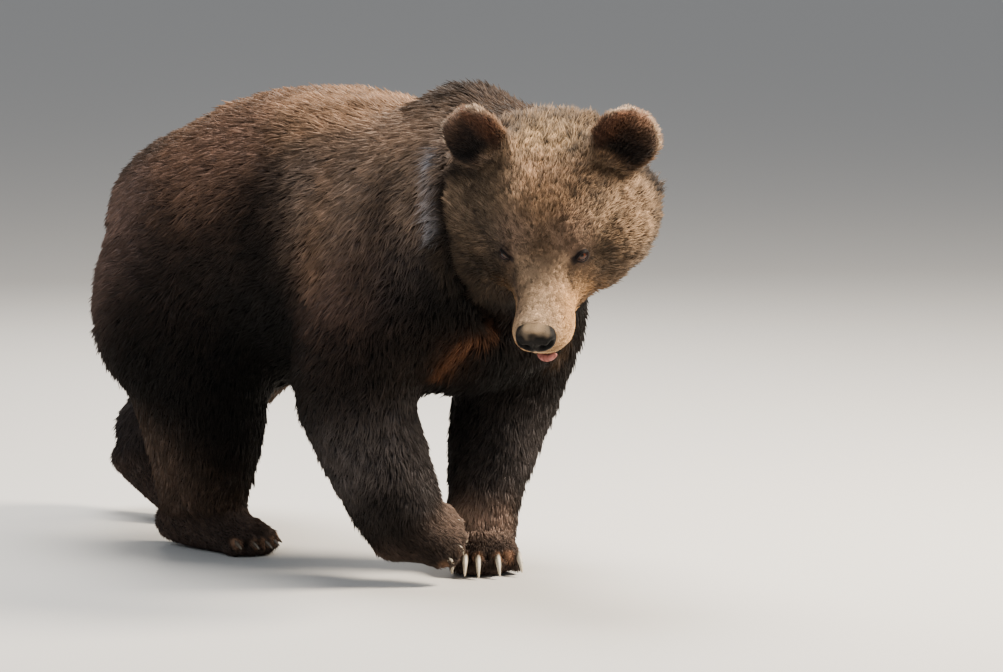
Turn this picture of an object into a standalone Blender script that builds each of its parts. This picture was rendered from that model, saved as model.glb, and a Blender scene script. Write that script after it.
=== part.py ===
"""A brown bear at life size, walking, with its head lowered and turned to its right.

Metres, +Z up, +X the way the bear walks, +Y its left side. The soft body is modelled as
overlapping masses, fused into one surface that reaches the tips of the coat, and then parted
by thin cuts into the pieces that a person would name. Eyes, nose and claws are set into it.
"""

import math

import bmesh
import bpy
from mathutils import Euler, Matrix, Vector

# ---------------------------------------------------------------- driving sizes
FUSE_VOXEL = 0.009  # grid on which the masses become one surface
BLEND_PASSES = 9  # smoothing that turns the creases between masses into flesh
FLESH_TRIANGLES = 2700  # what the fused body keeps
GAP = 0.0003  # between neighbouring pieces

HEAD_AT = Vector((0.690, -0.155, 0.763))  # between the eyes and the jaw joints
HEAD_TURN = math.radians(-58)
HEAD_NOD = math.radians(42)
HEAD_SIZE = 1.08

EYE_AT = (0.066, 0.070, 0.019)  # head's own frame: forward, left, up
EYE_RADIUS = 0.0145
EAR_AT = (-0.122, 0.152, 0.150)
MOUTH_Z = -0.084


# ---------------------------------------------------------------- tools
def clear_scene():
    for leftover in list(bpy.data.objects):
        bpy.data.objects.remove(leftover)


def new_collection(name):
    made = bpy.data.collections.new(name)
    bpy.context.scene.collection.children.link(made)
    return made


def catmull_rom(a, b, c, d, t):
    return 0.5 * (
        2 * b + (c - a) * t + (2 * a - 5 * b + 4 * c - d) * t * t + (3 * b - a - 3 * c + d) * t**3
    )


def fill_in(stations, between):
    """Stations as plain number rows, with smoothly curved rows added between them."""
    rows = [list(centre) + [half_width, half_height] for centre, half_width, half_height in stations]
    filled = []
    for i in range(len(rows) - 1):
        around = [rows[max(0, i - 1)], rows[i], rows[i + 1], rows[min(len(rows) - 1, i + 2)]]
        for step in range(between):
            filled.append([catmull_rom(*column, step / between) for column in zip(*around)])
    return filled + [rows[-1]]


def loft(stations, up=(0, 0, 1), sides=24, between=4, squareness=2.2, place=None, grow=0.0):
    """A closed limb through (centre, half_width, half_height) stations, as a bmesh."""
    rows = fill_in(stations, between)
    centres = [Vector(row[:3]) for row in rows]
    mesh = bmesh.new()
    rings = []
    for i, row in enumerate(rows):
        along = (centres[min(i + 1, len(rows) - 1)] - centres[max(i - 1, 0)]).normalized()
        side = Vector(up).cross(along).normalized()
        lift = along.cross(side)
        ring = []
        for k in range(sides):
            angle = math.tau * k / sides
            c, s = math.cos(angle), math.sin(angle)
            wide = math.copysign(abs(c) ** (2 / squareness), c) * max(row[3] + grow, 0.002)
            high = math.copysign(abs(s) ** (2 / squareness), s) * max(row[4] + grow, 0.002)
            ring.append(mesh.verts.new(centres[i] + side * wide + lift * high))
        rings.append(ring)
    for low, high in zip(rings, rings[1:]):
        for k in range(sides):
            n = (k + 1) % sides
            mesh.faces.new((low[k], low[n], high[n], high[k]))
    mesh.faces.new(list(reversed(rings[0])))
    mesh.faces.new(rings[-1])
    bmesh.ops.recalc_face_normals(mesh, faces=mesh.faces)
    if place:
        bmesh.ops.transform(mesh, matrix=place, verts=mesh.verts)
    return mesh


def ball(centre, radii, turn=(0, 0, 0), place=None, segments=(16, 10)):
    """An ellipsoid with its own turn in degrees, as a bmesh."""
    mesh = bmesh.new()
    bmesh.ops.create_uvsphere(mesh, u_segments=segments[0], v_segments=segments[1], radius=1)
    spin = Euler([math.radians(a) for a in turn]).to_matrix().to_4x4()
    matrix = Matrix.Translation(centre) @ spin @ Matrix.Diagonal((*radii, 1))
    bmesh.ops.transform(mesh, matrix=(place or Matrix()) @ matrix, verts=mesh.verts)
    return mesh


def block(centre, size, place=None):
    mesh = bmesh.new()
    bmesh.ops.create_cube(mesh, size=1)
    matrix = Matrix.Translation(centre) @ Matrix.Diagonal((*size, 1))
    bmesh.ops.transform(mesh, matrix=(place or Matrix()) @ matrix, verts=mesh.verts)
    return mesh


def joined(name, masses, collection):
    """One object that holds all these bmeshes."""
    whole = bmesh.new()
    for mass in masses:
        scratch = bpy.data.meshes.new("mass")
        mass.to_mesh(scratch)
        mass.free()
        whole.from_mesh(scratch)
        bpy.data.meshes.remove(scratch)
    bmesh.ops.triangulate(whole, faces=whole.faces)  # so that each later cut sees the same facets
    mesh = bpy.data.meshes.new(name)
    whole.to_mesh(mesh)
    whole.free()
    made = bpy.data.objects.new(name, mesh)
    collection.objects.link(made)
    return made


def settled(obj):
    """The object with its modifiers applied to its mesh."""
    graph = bpy.context.evaluated_depsgraph_get()
    mesh = bpy.data.meshes.new_from_object(obj.evaluated_get(graph))
    obj.modifiers.clear()
    obj.data = mesh
    return obj


def combined(obj, cutter, operation):
    """The object after one Boolean with the cutter, which stays as a hidden guide."""
    step = obj.modifiers.new("cut", "BOOLEAN")
    step.operation = operation
    step.solver = "EXACT"
    step.object = cutter
    return settled(obj)


def grown(obj, by):
    """Moves each point of the object's mesh out along its normal."""
    mesh = bmesh.new()
    mesh.from_mesh(obj.data)
    mesh.normal_update()
    for vert in mesh.verts:
        vert.co += vert.normal * by
    mesh.to_mesh(obj.data)
    mesh.free()
    return obj


def copied(obj, name, collection):
    made = bpy.data.objects.new(name, obj.data.copy())
    collection.objects.link(made)
    return made


def as_guide(obj):
    obj.hide_render = True
    obj.display_type = "WIRE"
    return obj


def taken_out(whole, name, shapes, parts, cutters):
    """The piece of the whole inside the shapes, as its own part. The whole keeps the rest."""
    cutter = as_guide(joined(f"{name}_cutter", shapes, cutters))
    piece = combined(copied(whole, name, parts), cutter, "INTERSECT")
    grown(cutter, GAP)
    combined(whole, cutter, "DIFFERENCE")
    return piece


def sliced(obj, point, normal, keep_outer):
    """Cuts the object's mesh at a plane, keeps one side and closes it with a flat face."""
    mesh = bmesh.new()
    mesh.from_mesh(obj.data)
    cut = bmesh.ops.bisect_plane(
        mesh,
        geom=mesh.verts[:] + mesh.edges[:] + mesh.faces[:],
        plane_co=point,
        plane_no=normal,
        clear_inner=keep_outer,
        clear_outer=not keep_outer,
    )
    rim = [item for item in cut["geom_cut"] if isinstance(item, bmesh.types.BMEdge)]
    bmesh.ops.edgeloop_fill(mesh, edges=rim)
    bmesh.ops.triangulate(mesh, faces=mesh.faces)
    bmesh.ops.recalc_face_normals(mesh, faces=mesh.faces)
    mesh.to_mesh(obj.data)
    mesh.free()
    return obj


def parted(whole, name, point, normal, parts):
    """The side of the whole that the normal points to, as its own part."""
    point, normal = Vector(point), Vector(normal).normalized()
    piece = copied(whole, name, parts)
    sliced(piece, point + normal * GAP / 2, normal, keep_outer=True)
    sliced(whole, point - normal * GAP / 2, normal, keep_outer=False)
    return piece


def loose_pieces(obj):
    """The separate bodies of the object's mesh, each as a bmesh."""
    mesh = bmesh.new()
    mesh.from_mesh(obj.data)
    unseen, pieces = set(mesh.verts), []
    while unseen:
        reached, front = set(), [unseen.pop()]
        while front:
            vert = front.pop()
            reached.add(vert)
            near = {edge.other_vert(vert) for edge in vert.link_edges} & unseen
            unseen -= near
            front += near
        piece = mesh.copy()
        kept = {vert.index for vert in reached}
        piece.verts.ensure_lookup_table()
        others = [vert for vert in piece.verts if vert.index not in kept]
        bmesh.ops.delete(piece, geom=others, context="VERTS")
        pieces.append(piece)
    mesh.free()
    return pieces


def painted(obj, colour, roughness, metallic=0.0):
    """Gives the part its own plain material."""
    paint = bpy.data.materials.new(obj.name)
    paint.use_nodes = True
    shader = paint.node_tree.nodes["Principled BSDF"]
    shader.inputs["Base Color"].default_value = (*colour, 1)
    shader.inputs["Roughness"].default_value = roughness
    shader.inputs["Metallic"].default_value = metallic
    obj.data.materials.clear()
    obj.data.materials.append(paint)
    obj.data.shade_smooth()
    obj.data.set_sharp_from_angle(angle=math.radians(50))


# ---------------------------------------------------------------- trunk and neck
def trunk_masses():
    barrel = loft(
        [
            ((-0.715, 0, 0.62), 0.05, 0.09),
            ((-0.685, 0, 0.635), 0.120, 0.165),
            ((-0.62, 0, 0.645), 0.190, 0.203),
            ((-0.52, 0, 0.665), 0.246, 0.240),
            ((-0.42, 0, 0.675), 0.281, 0.268),
            ((-0.28, 0, 0.685), 0.304, 0.314),
            ((-0.12, 0, 0.695), 0.308, 0.327),
            ((0.03, 0, 0.70), 0.300, 0.315),
            ((0.15, 0, 0.69), 0.288, 0.300),
            ((0.30, 0, 0.69), 0.265, 0.305),
            ((0.42, -0.005, 0.69), 0.225, 0.270),
            ((0.50, -0.015, 0.69), 0.16, 0.20),
        ]
    )
    hump = ball((0.315, -0.01, 0.905), (0.185, 0.125, 0.155))
    rise = ball((0.21, 0, 0.86), (0.22, 0.17, 0.12))
    shoulders = [ball((0.26, side * 0.155, 0.70), (0.17, 0.145, 0.24)) for side in (-1, 1)]
    haunches = [ball((-0.430, side * 0.142, 0.62), (0.18, 0.145, 0.24)) for side in (-1, 1)]
    neck = loft(
        [
            ((0.22, 0.0, 0.76), 0.22, 0.25),
            ((0.38, -0.03, 0.78), 0.225, 0.24),
            ((0.50, -0.055, 0.81), 0.200, 0.21),
            ((0.60, -0.08, 0.83), 0.165, 0.178),
            ((0.65, -0.10, 0.83), 0.12, 0.14),
        ]
    )
    return [barrel, hump, rise, neck] + shoulders + haunches


TAIL_AT = Vector((-0.735, 0.0, 0.70))


def tail_masses():
    return [ball(TAIL_AT, (0.045, 0.034, 0.062), turn=(0, 12, 0))]


# ---------------------------------------------------------------- legs
LEGS = {
    "fore_right": [
        ((0.30, -0.12, 0.74), 0.09, 0.12),
        ((0.245, -0.185, 0.60), 0.125, 0.16),
        ((0.19, -0.225, 0.45), 0.122, 0.145),
        ((0.205, -0.215, 0.34), 0.114, 0.125),
        ((0.235, -0.195, 0.25), 0.105, 0.112),
        ((0.262, -0.162, 0.148), 0.09, 0.095),
        ((0.277, -0.140, 0.108), 0.07, 0.076),
    ],
    "fore_left": [
        ((0.31, 0.12, 0.74), 0.09, 0.12),
        ((0.29, 0.185, 0.58), 0.122, 0.150),
        ((0.25, 0.185, 0.42), 0.115, 0.130),
        ((0.24, 0.145, 0.27), 0.094, 0.105),
        ((0.243, 0.112, 0.15), 0.075, 0.080),
        ((0.25, 0.098, 0.07), 0.070, 0.075),
    ],
    "hind_right": [
        ((-0.47, -0.12, 0.68), 0.12, 0.19),
        ((-0.40, -0.185, 0.54), 0.150, 0.215),
        ((-0.325, -0.20, 0.41), 0.135, 0.190),
        ((-0.335, -0.17, 0.26), 0.113, 0.145),
        ((-0.365, -0.145, 0.14), 0.092, 0.110),
        ((-0.38, -0.13, 0.06), 0.080, 0.090),
    ],
    "hind_left": [
        ((-0.47, 0.12, 0.68), 0.12, 0.19),
        ((-0.53, 0.185, 0.54), 0.145, 0.205),
        ((-0.61, 0.19, 0.41), 0.125, 0.165),
        ((-0.752, 0.16, 0.265), 0.095, 0.120),
        ((-0.876, 0.135, 0.155), 0.075, 0.090),
    ],
}


def leg_loft(name, grow=0.0, reach=None):
    return loft(LEGS[name] if reach is None else LEGS[name][:reach], up=(1, 0, 0), grow=grow)


# ---------------------------------------------------------------- paws
# where the toes join the sole, heading, pitch and roll in degrees, sole length, width, height
PAWS = {
    "fore_right": ((0.311, -0.100, 0.077), (38, -6, 50), 0.105, 0.140, 0.088),
    "fore_left": ((0.303, 0.048, -0.004), (-42, 4, 0), 0.105, 0.160, 0.092),
    "hind_right": ((-0.255, -0.125, -0.004), (4, 2, 0), 0.215, 0.140, 0.085),
    "hind_left": ((-0.722, 0.120, 0.001), (2, 25, 0), 0.205, 0.138, 0.095),
}
TOES = (-2, -1, 0, 1, 2)
# how far each toe stands to the side, as a share of the outer toe's place
TOE_SPREAD = {"fore_left": (-0.95, -0.60, -0.22, 0.38, 1.04)}
EVEN_SPREAD = (-1, -0.5, 0, 0.5, 1)


def paw_place(name):
    at, (heading, pitch, roll), *_ = PAWS[name]
    return (
        Matrix.Translation(at)
        @ Matrix.Rotation(math.radians(heading), 4, "Z")
        @ Matrix.Rotation(math.radians(pitch), 4, "Y")
        @ Matrix.Rotation(math.radians(roll), 4, "X")
    )


def toe_place(name, toe):
    """Where a toe ends, pointing the way that it points. The toes fan out a little."""
    _, _, _, width, height = PAWS[name]
    off = TOE_SPREAD.get(name, EVEN_SPREAD)[toe + 2]
    lift = -PAWS[name][1][1] * 0.8 if name == "hind_left" else 0
    return (
        paw_place(name)
        @ Matrix.Translation((0.028 - 0.026 * off * off, off * width * 0.40, height * 0.36))
        @ Matrix.Rotation(math.radians(10 * off), 4, "Z")
        @ Matrix.Rotation(math.radians(lift), 4, "Y")
    )


def paw_masses(name):
    _, _, sole, width, height = PAWS[name]
    place = paw_place(name)
    pad = loft(
        [
            ((-sole - 0.03, 0, height * 0.50), width * 0.22, height * 0.30),
            ((-sole, 0, height * 0.55), width * 0.38, height * 0.50),
            ((-sole * 0.5, 0, height * 0.55), width * 0.45, height * 0.58),
            ((0, 0, height * 0.50), width * 0.49, height * 0.52),
            ((0.03, 0, height * 0.42), width * 0.42, height * 0.40),
        ],
        place=place,
    )
    toes = [ball((0.010, 0, -0.002), (0.040, 0.0185, 0.0285), place=toe_place(name, toe)) for toe in TOES]
    return [pad] + toes


# length, thickness at the root, slope where it leaves the toe, how much further it bends, and
# how high on the toe it starts
CLAWS = {
    "fore_left": (0.060, 0.0125, 0.36, 0.66, 0.018),
    "fore_right": (0.042, 0.0105, 0.95, 0.70, 0.008),
    "hind_left": (0.034, 0.0085, 0.12, 0.55, 0.008),
    "hind_right": (0.034, 0.0085, 0.12, 0.55, 0.008),
}
CLAW_STEPS = 3


def claw_shape(name, toe, grow=0.0):
    """A claw that leaves the toe's end and curves down to a blunt point."""
    length, thick, slope, bend, high = CLAWS[name]
    step = length * (1 - 0.06 * abs(toe)) / CLAW_STEPS
    x, z = 0.024, high
    stations = [((x, 0, z), thick * 0.62, thick)]
    for i in range(1, CLAW_STEPS + 1):
        angle = slope + bend * (i - 0.5) / CLAW_STEPS
        x, z = x + step * math.cos(angle), z - step * math.sin(angle)
        slim = thick * (1 - 0.84 * (i / CLAW_STEPS) ** 1.7)
        stations.append(((x, 0, z), slim * 0.62, slim))
    return loft(stations, sides=6, between=1, squareness=2.0, place=toe_place(name, toe), grow=grow)


# ---------------------------------------------------------------- head
def head_place():
    return (
        Matrix.Translation(HEAD_AT)
        @ Matrix.Rotation(HEAD_TURN, 4, "Z")
        @ Matrix.Rotation(HEAD_NOD, 4, "Y")
        @ Matrix.Scale(HEAD_SIZE, 4)
    )


def on_both_sides(at):
    return [(at[0], side * at[1], at[2]) for side in (-1, 1)]


def head_masses():
    place = head_place()
    cheeks = loft(
        [
            ((-0.21, 0, -0.02), 0.12, 0.09),
            ((-0.16, 0, -0.02), 0.178, 0.122),
            ((-0.10, 0, -0.022), 0.197, 0.134),
            ((-0.05, 0, -0.028), 0.192, 0.134),
            ((-0.01, 0, -0.038), 0.176, 0.116),
            ((0.03, 0, -0.048), 0.134, 0.095),
            ((0.07, 0, -0.050), 0.086, 0.070),
            ((0.11, 0, -0.050), 0.066, 0.056),
        ],
        place=place,
    )
    crown = loft(
        [
            ((-0.20, 0, 0.015), 0.10, 0.093),
            ((-0.16, 0, 0.031), 0.140, 0.114),
            ((-0.10, 0, 0.040), 0.156, 0.114),
            ((-0.05, 0, 0.036), 0.142, 0.113),
            ((0.0, 0, 0.016), 0.120, 0.103),
            ((0.04, 0, -0.004), 0.091, 0.078),
            ((0.08, 0, -0.022), 0.066, 0.058),
            ((0.12, 0, -0.034), 0.054, 0.044),
        ],
        place=place,
    )
    muzzle = loft(
        [
            ((0.04, 0, -0.030), 0.080, 0.062),
            ((0.08, 0, -0.036), 0.066, 0.056),
            ((0.13, 0, -0.042), 0.057, 0.050),
            ((0.19, 0, -0.045), 0.053, 0.046),
            ((0.222, 0, -0.044), 0.047, 0.041),
            ((0.238, 0, -0.042), 0.035, 0.031),
        ],
        squareness=2.5,
        place=place,
    )
    jaw = loft(
        [
            ((-0.06, 0, -0.095), 0.10, 0.065),
            ((0.03, 0, -0.093), 0.070, 0.045),
            ((0.12, 0, -0.092), 0.048, 0.030),
            ((0.185, 0, -0.092), 0.038, 0.024),
            ((0.207, 0, -0.090), 0.026, 0.016),
        ],
        place=place,
    )
    brows = [ball(at, (0.030, 0.034, 0.024), place=place) for at in on_both_sides((0.032, 0.066, 0.050))]
    return [cheeks, crown, muzzle, jaw] + brows


def ear_masses():
    return [
        ball((x, y, z), (0.033, 0.072, 0.080), turn=(0, -8, math.copysign(18, y)), place=head_place())
        for x, y, z in on_both_sides(EAR_AT)
    ]


# ---------------------------------------------------------------- one surface
SOFTEN_PASSES = 110
LEG_SHARE = 0.3  # of that smoothing, which would thin the legs if they had it all


def share(value, start, end):
    return min(1.0, max(0.0, (value - start) / (end - start)))


def softened(body):
    """Smooths the broad flesh more than the head and the feet, which keep their forms."""
    broad = body.vertex_groups.new(name="broad")
    for vert in body.data.vertices:
        off_head = share((vert.co - HEAD_AT).length, 0.26, 0.36)
        above_feet = LEG_SHARE * share(vert.co.z, 0.14, 0.24)
        in_trunk = (1 - LEG_SHARE) * share(vert.co.z, 0.38, 0.55)
        broad.add([vert.index], min(off_head, above_feet + in_trunk), "REPLACE")
    step = body.modifiers.new("soften", "SMOOTH")
    step.factor = 0.5
    step.iterations = SOFTEN_PASSES
    step.vertex_group = broad.name
    settled(body)
    body.vertex_groups.clear()


def fused_body(parts):
    """The whole soft body as one closed surface that stands on flats at floor level."""
    masses = trunk_masses() + tail_masses() + head_masses() + ear_masses()
    for name in LEGS:
        masses += [leg_loft(name)] + paw_masses(name)
    body = joined("trunk", masses, parts)
    fuse = body.modifiers.new("fuse", "REMESH")
    fuse.mode = "VOXEL"
    fuse.voxel_size = FUSE_VOXEL
    blend = body.modifiers.new("blend", "SMOOTH")
    blend.factor = 0.5
    blend.iterations = BLEND_PASSES
    settled(body)
    softened(body)
    thin = body.modifiers.new("thin", "DECIMATE")
    thin.ratio = FLESH_TRIANGLES / (2 * len(body.data.polygons))
    return sliced(settled(body), (0, 0, 0), (0, 0, 1), keep_outer=True)


# ---------------------------------------------------------------- parting
BELOW_BELLY = 0.36
SHOULDER_ROOM = 0.034  # how far the cut round an upper leg stays outside its own form
WRISTS = {  # point and normal of the cut that ends each lower leg
    "fore_right": ((0.272, -0.147, 0.138), (0.33, 0.45, -0.84)),
    "fore_left": ((0.247, 0.105, 0.108), (0, 0, -1)),
    "hind_right": ((-0.370, -0.140, 0.105), (0, 0, -1)),
    "hind_left": ((-0.850, 0.135, 0.148), (0.05, 0, -1)),
}
PIECE_NAMES = {"fore": ("upper_arm", "forearm", "paw"), "hind": ("thigh", "lower_leg", "foot")}


def part_legs(body, parts, cutters):
    """Lower legs come off below the belly, and upper legs along their own outline."""
    lower = parted(body, "lower", (0, 0, BELOW_BELLY), (0, 0, -1), parts)
    pieces = [joined("leg", [piece], parts) for piece in loose_pieces(lower)]
    bpy.data.objects.remove(lower)
    for name in LEGS:
        which, side = name.split("_")
        upper, middle, end = PIECE_NAMES[which]
        place = Vector(PAWS[name][0])
        leg = min(pieces, key=lambda piece: min((v.co - place).length for v in piece.data.vertices))
        pieces.remove(leg)
        leg.name = f"{middle}_{side}"
        foot = parted(leg, f"{end}_{side}", *WRISTS[name], parts)
        set_claws(foot, name, side, parts, cutters)
        taken_out(body, f"{upper}_{side}", [leg_cutter(name)], parts, cutters)


def leg_cutter(name):
    """The upper leg's own form, a little larger, from the shoulder or hip down past the belly."""
    return loft(LEGS[name][1:4], up=(1, 0, 0), sides=12, between=1, grow=SHOULDER_ROOM)


def set_claws(foot, name, side, parts, cutters):
    """Five claws, each its own part in a socket in the foot."""
    kind = "fore" if name.startswith("fore") else "hind"
    for toe in TOES:
        claw = joined(f"claw_{kind}_{side}_{toe + 3}", [claw_shape(name, toe)], parts)
        socket = joined(f"{claw.name}_socket", [claw_shape(name, toe, grow=GAP)], cutters)
        combined(foot, as_guide(socket), "DIFFERENCE")
        painted(claw, (0.55, 0.47, 0.34), 0.35)


NECK_BASE = ((0.41, 0, 0.80), (0.97, -0.03, 0.22))
NECK_TOP = ((0.50, -0.20, 0.85), (0.786, -0.618, -0.15))


def part_head(body, parts, cutters):
    """Ears, nose, jaw, eyes and tail come off by their own outlines, head and neck at planes."""
    place = head_place()
    for side, at in zip(("right", "left"), on_both_sides(EAR_AT)):
        x, y, z = at
        root = (x + 0.004, y * 1.05, z + 0.018)
        turn = (0, -8, math.copysign(18, y))
        ear = taken_out(
            body,
            f"ear_{side}",
            [ball(root, (0.05, 0.085, 0.085), turn=turn, place=place, segments=(10, 6))],
            parts,
            cutters,
        )
        hollow = ball(
            (x + 0.036, y * 1.03, z + 0.008), (0.030, 0.040, 0.046), turn=turn, place=place, segments=(12, 8)
        )
        combined(ear, as_guide(joined(f"ear_{side}_hollow", [hollow], cutters)), "DIFFERENCE")
    tail_room = ball(TAIL_AT + Vector((-0.03, 0, 0)), (0.060, 0.06, 0.09), segments=(10, 6))
    taken_out(body, "tail", [tail_room], parts, cutters)
    neck = parted(body, "neck", *NECK_BASE, parts)
    head = parted(neck, "head", *NECK_TOP, parts)
    jaw_room = block((0.145, 0, MOUTH_Z - 0.05), (0.20, 0.22, 0.10), place=place)
    taken_out(head, "lower_jaw", [jaw_room], parts, cutters)
    nose_room = ball((0.236, 0, -0.033), (0.030, 0.044, 0.033), place=place, segments=(12, 8))
    nose = taken_out(head, "nose", [nose_room], parts, cutters)
    painted(nose, (0.035, 0.030, 0.028), 0.35)
    for side, at in zip(("right", "left"), on_both_sides(EYE_AT)):
        eye = joined(f"eye_{side}", [eyeball(at)], parts)
        socket = joined(f"eye_{side}_socket", [eyeball(at, GAP)], cutters)
        combined(head, as_guide(socket), "DIFFERENCE")
        painted(eye, (0.05, 0.022, 0.012), 0.1)


def eyeball(at, grow=0.0):
    radius = EYE_RADIUS + grow / HEAD_SIZE
    return ball(at, (radius, radius, radius), place=head_place(), segments=(12, 8))


def centred(parts):
    """Hangs every part on one empty, placed so that the origin is the middle of the footprint."""
    points = [vert.co for obj in parts.objects for vert in obj.data.vertices]
    low = Vector(min(point[axis] for point in points) for axis in range(3))
    high = Vector(max(point[axis] for point in points) for axis in range(3))
    stance = bpy.data.objects.new("stance", None)
    stance.location = (-(low.x + high.x) / 2, -(low.y + high.y) / 2, -low.z)
    for obj in parts.objects:
        obj.parent = stance
    parts.objects.link(stance)


def main():
    clear_scene()
    parts = new_collection("brown_bear")
    cutters = new_collection("cutters")
    body = fused_body(parts)
    part_legs(body, parts, cutters)
    part_head(body, parts, cutters)
    for obj in parts.objects:
        if not obj.data.materials:
            painted(obj, (0.085, 0.052, 0.033), 0.85)
    centred(parts)


main()
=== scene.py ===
import math

import bmesh
import bpy
import numpy as np
from mathutils import Matrix, Vector
from mathutils.bvhtree import BVHTree
from mathutils.kdtree import KDTree


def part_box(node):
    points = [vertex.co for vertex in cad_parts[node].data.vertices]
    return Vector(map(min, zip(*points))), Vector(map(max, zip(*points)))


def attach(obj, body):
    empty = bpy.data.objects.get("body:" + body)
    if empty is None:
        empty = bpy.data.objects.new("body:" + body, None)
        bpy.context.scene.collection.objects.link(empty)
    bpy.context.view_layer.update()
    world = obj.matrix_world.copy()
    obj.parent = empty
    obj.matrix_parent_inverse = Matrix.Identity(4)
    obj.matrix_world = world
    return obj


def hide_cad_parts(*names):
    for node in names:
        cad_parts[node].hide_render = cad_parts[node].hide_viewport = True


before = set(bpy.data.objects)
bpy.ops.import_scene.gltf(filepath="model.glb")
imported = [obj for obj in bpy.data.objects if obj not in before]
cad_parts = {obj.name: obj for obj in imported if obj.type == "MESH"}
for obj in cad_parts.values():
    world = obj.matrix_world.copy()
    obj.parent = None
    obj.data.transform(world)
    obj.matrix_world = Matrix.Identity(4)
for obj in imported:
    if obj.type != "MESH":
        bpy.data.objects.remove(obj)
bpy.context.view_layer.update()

# ---------------- hide
# The bear's hide: one unbroken skin over head, body and legs, with the lids, lips and folds of
# the face. It lies under the coat by the coat's depth, and is grown from the flesh as one
# surface, so that no seam shows where head, legs and trunk meet.
HIDE_WEAVE = 0.01  # size of the hide's squares
EASE_BODY, EASE_FACE = 26, 4  # how often the surface is eased smooth
HEAD_TURN, HEAD_NOD = math.radians(-58), math.radians(42)
EYES_IN_HEAD = np.array((0.0713, 0, 0.0205))  # middle between the eyes, from the neck's end
SKULL, FACE_MIDDLE, LIP_MIDDLE = (0.02, 0, 0), (0.13, 0, -0.03), (0.205, 0, -0.075)  # in the head


def middle_of(name):
    """The middle of the box round one of the frame's solids."""
    low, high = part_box(name)
    return np.array((low + high) / 2)


eye_at = {side: middle_of(f"eye_{side}") for side in ("left", "right")}
eye_low, eye_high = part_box("eye_left")
eye_size = (eye_high.z - eye_low.z) / 2
head_axes = np.array(Matrix.Rotation(HEAD_TURN, 3, "Z") @ Matrix.Rotation(HEAD_NOD, 3, "Y"))
head_at = (eye_at["left"] + eye_at["right"]) / 2 - head_axes @ EYES_IN_HEAD


def in_head(points):
    """World points as the head has them: x along the muzzle, y to its left, z to the crown."""
    return (points - head_at) @ head_axes


def from_head(points):
    return np.asarray(points) @ head_axes.T + head_at


def rise(values, start, end):
    """0 before start, 1 after end, and smooth between."""
    part = np.clip((values - start) / (end - start), 0, 1)
    return part * part * (3 - 2 * part)


def unit(vectors):
    return vectors / np.maximum(np.linalg.norm(vectors, axis=-1, keepdims=True), 1e-9)


def drift(points, size, seed):
    """A smooth value between about -1 and 1 that wanders over this size."""
    waves = np.random.default_rng(seed)
    total = np.zeros(len(points))
    for _ in range(9):
        way = unit(waves.normal(size=3)) * waves.uniform(0.6, 1.5) * 2 * math.pi / size
        total += np.sin(points @ way + waves.uniform(0, 7))
    return total / 3.2


def eased(values, pairs, passes):
    """Moves values half way to their neighbours' along these edges, this many times."""
    values, one, two = values.copy(), pairs[:, 0], pairs[:, 1]
    count = np.maximum(np.bincount(pairs.ravel(), minlength=len(values)), 1)
    for _ in range(passes):
        for k in range(values.shape[1]):
            column = values[:, k]
            total = np.bincount(one, column[two], len(column))
            total += np.bincount(two, column[one], len(column))
            values[:, k] = column + 0.5 * (total / count - column)
    return values


def rows(items, field, width, kind=np.float32):
    """One field of all these items of a mesh, as an array this wide."""
    found = np.empty(len(items) * width, kind)
    items.foreach_get(field, found)
    return found.reshape(-1, width)


def points_of(mesh):
    return rows(mesh.vertices, "co", 3).astype(float)


def normals_of(mesh):
    return rows(mesh.vertex_normals, "vector", 3).astype(float)


def edges_of(mesh):
    return rows(mesh.edges, "vertices", 2, np.int32)


def lay_hide(points):
    hide_mesh.vertices.foreach_set("co", points.astype(np.float32).ravel())
    hide_mesh.update()


def bell(gap, width):
    """1 where the gap is nothing, and falling away smoothly over this width."""
    return np.exp(-((gap / width) ** 2))


def distance(points, at):
    return np.linalg.norm(points - at, axis=1)


def new_piece(name, mesh):
    piece = bpy.data.objects.new(name, mesh)
    bpy.context.scene.collection.objects.link(piece)
    return piece


def evaluated_mesh(rough):
    """The mesh that a piece's modifiers make, in place of the piece."""
    made = rough.evaluated_get(bpy.context.evaluated_depsgraph_get())
    mesh = bpy.data.meshes.new_from_object(made)
    bpy.data.objects.remove(rough)
    return mesh


FLESH = sorted(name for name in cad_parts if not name.startswith(("claw", "eye", "nose")))
PARTS = FLESH + ["nose"]
CUT = 0.0005  # how far each part swells, to close the thin cuts between parts
soft_points, soft_faces, soft_part = [], [], []
for number, name in enumerate(PARTS + ["eye_left", "eye_right"]):
    build = bmesh.new()
    build.from_mesh(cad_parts[name].data)
    bmesh.ops.remove_doubles(build, verts=build.verts, dist=1e-6)
    build.normal_update()
    build.verts.index_update()
    first = len(soft_points)
    soft_points += [vert.co + vert.normal * CUT for vert in build.verts]
    soft_faces += [[first + vert.index for vert in face.verts] for face in build.faces]
    soft_part += [min(number, len(FLESH))] * len(build.faces)
    build.free()

flesh_mesh = bpy.data.meshes.new("flesh")
flesh_mesh.from_pydata(soft_points, [], soft_faces)
flesh = new_piece("flesh", flesh_mesh)
weave = flesh.modifiers.new("weave", "REMESH")
weave.mode, weave.voxel_size = "VOXEL", HIDE_WEAVE
hide_mesh = evaluated_mesh(flesh)

skin = points_of(hide_mesh)
threads = edges_of(hide_mesh)
# the body is eased most, the head and the feet least
from_skull = distance(in_head(skin), SKULL)
broad = rise(from_skull, 0.2, 0.34) * (0.12 + 0.88 * rise(skin[:, 2], 0.16, 0.42))
eased_body = eased(skin, threads, EASE_BODY)
eased_face = eased(skin, threads, EASE_FACE)
skin = eased_face + (eased_body - eased_face) * broad[:, None]
lay_hide(skin)


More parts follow.
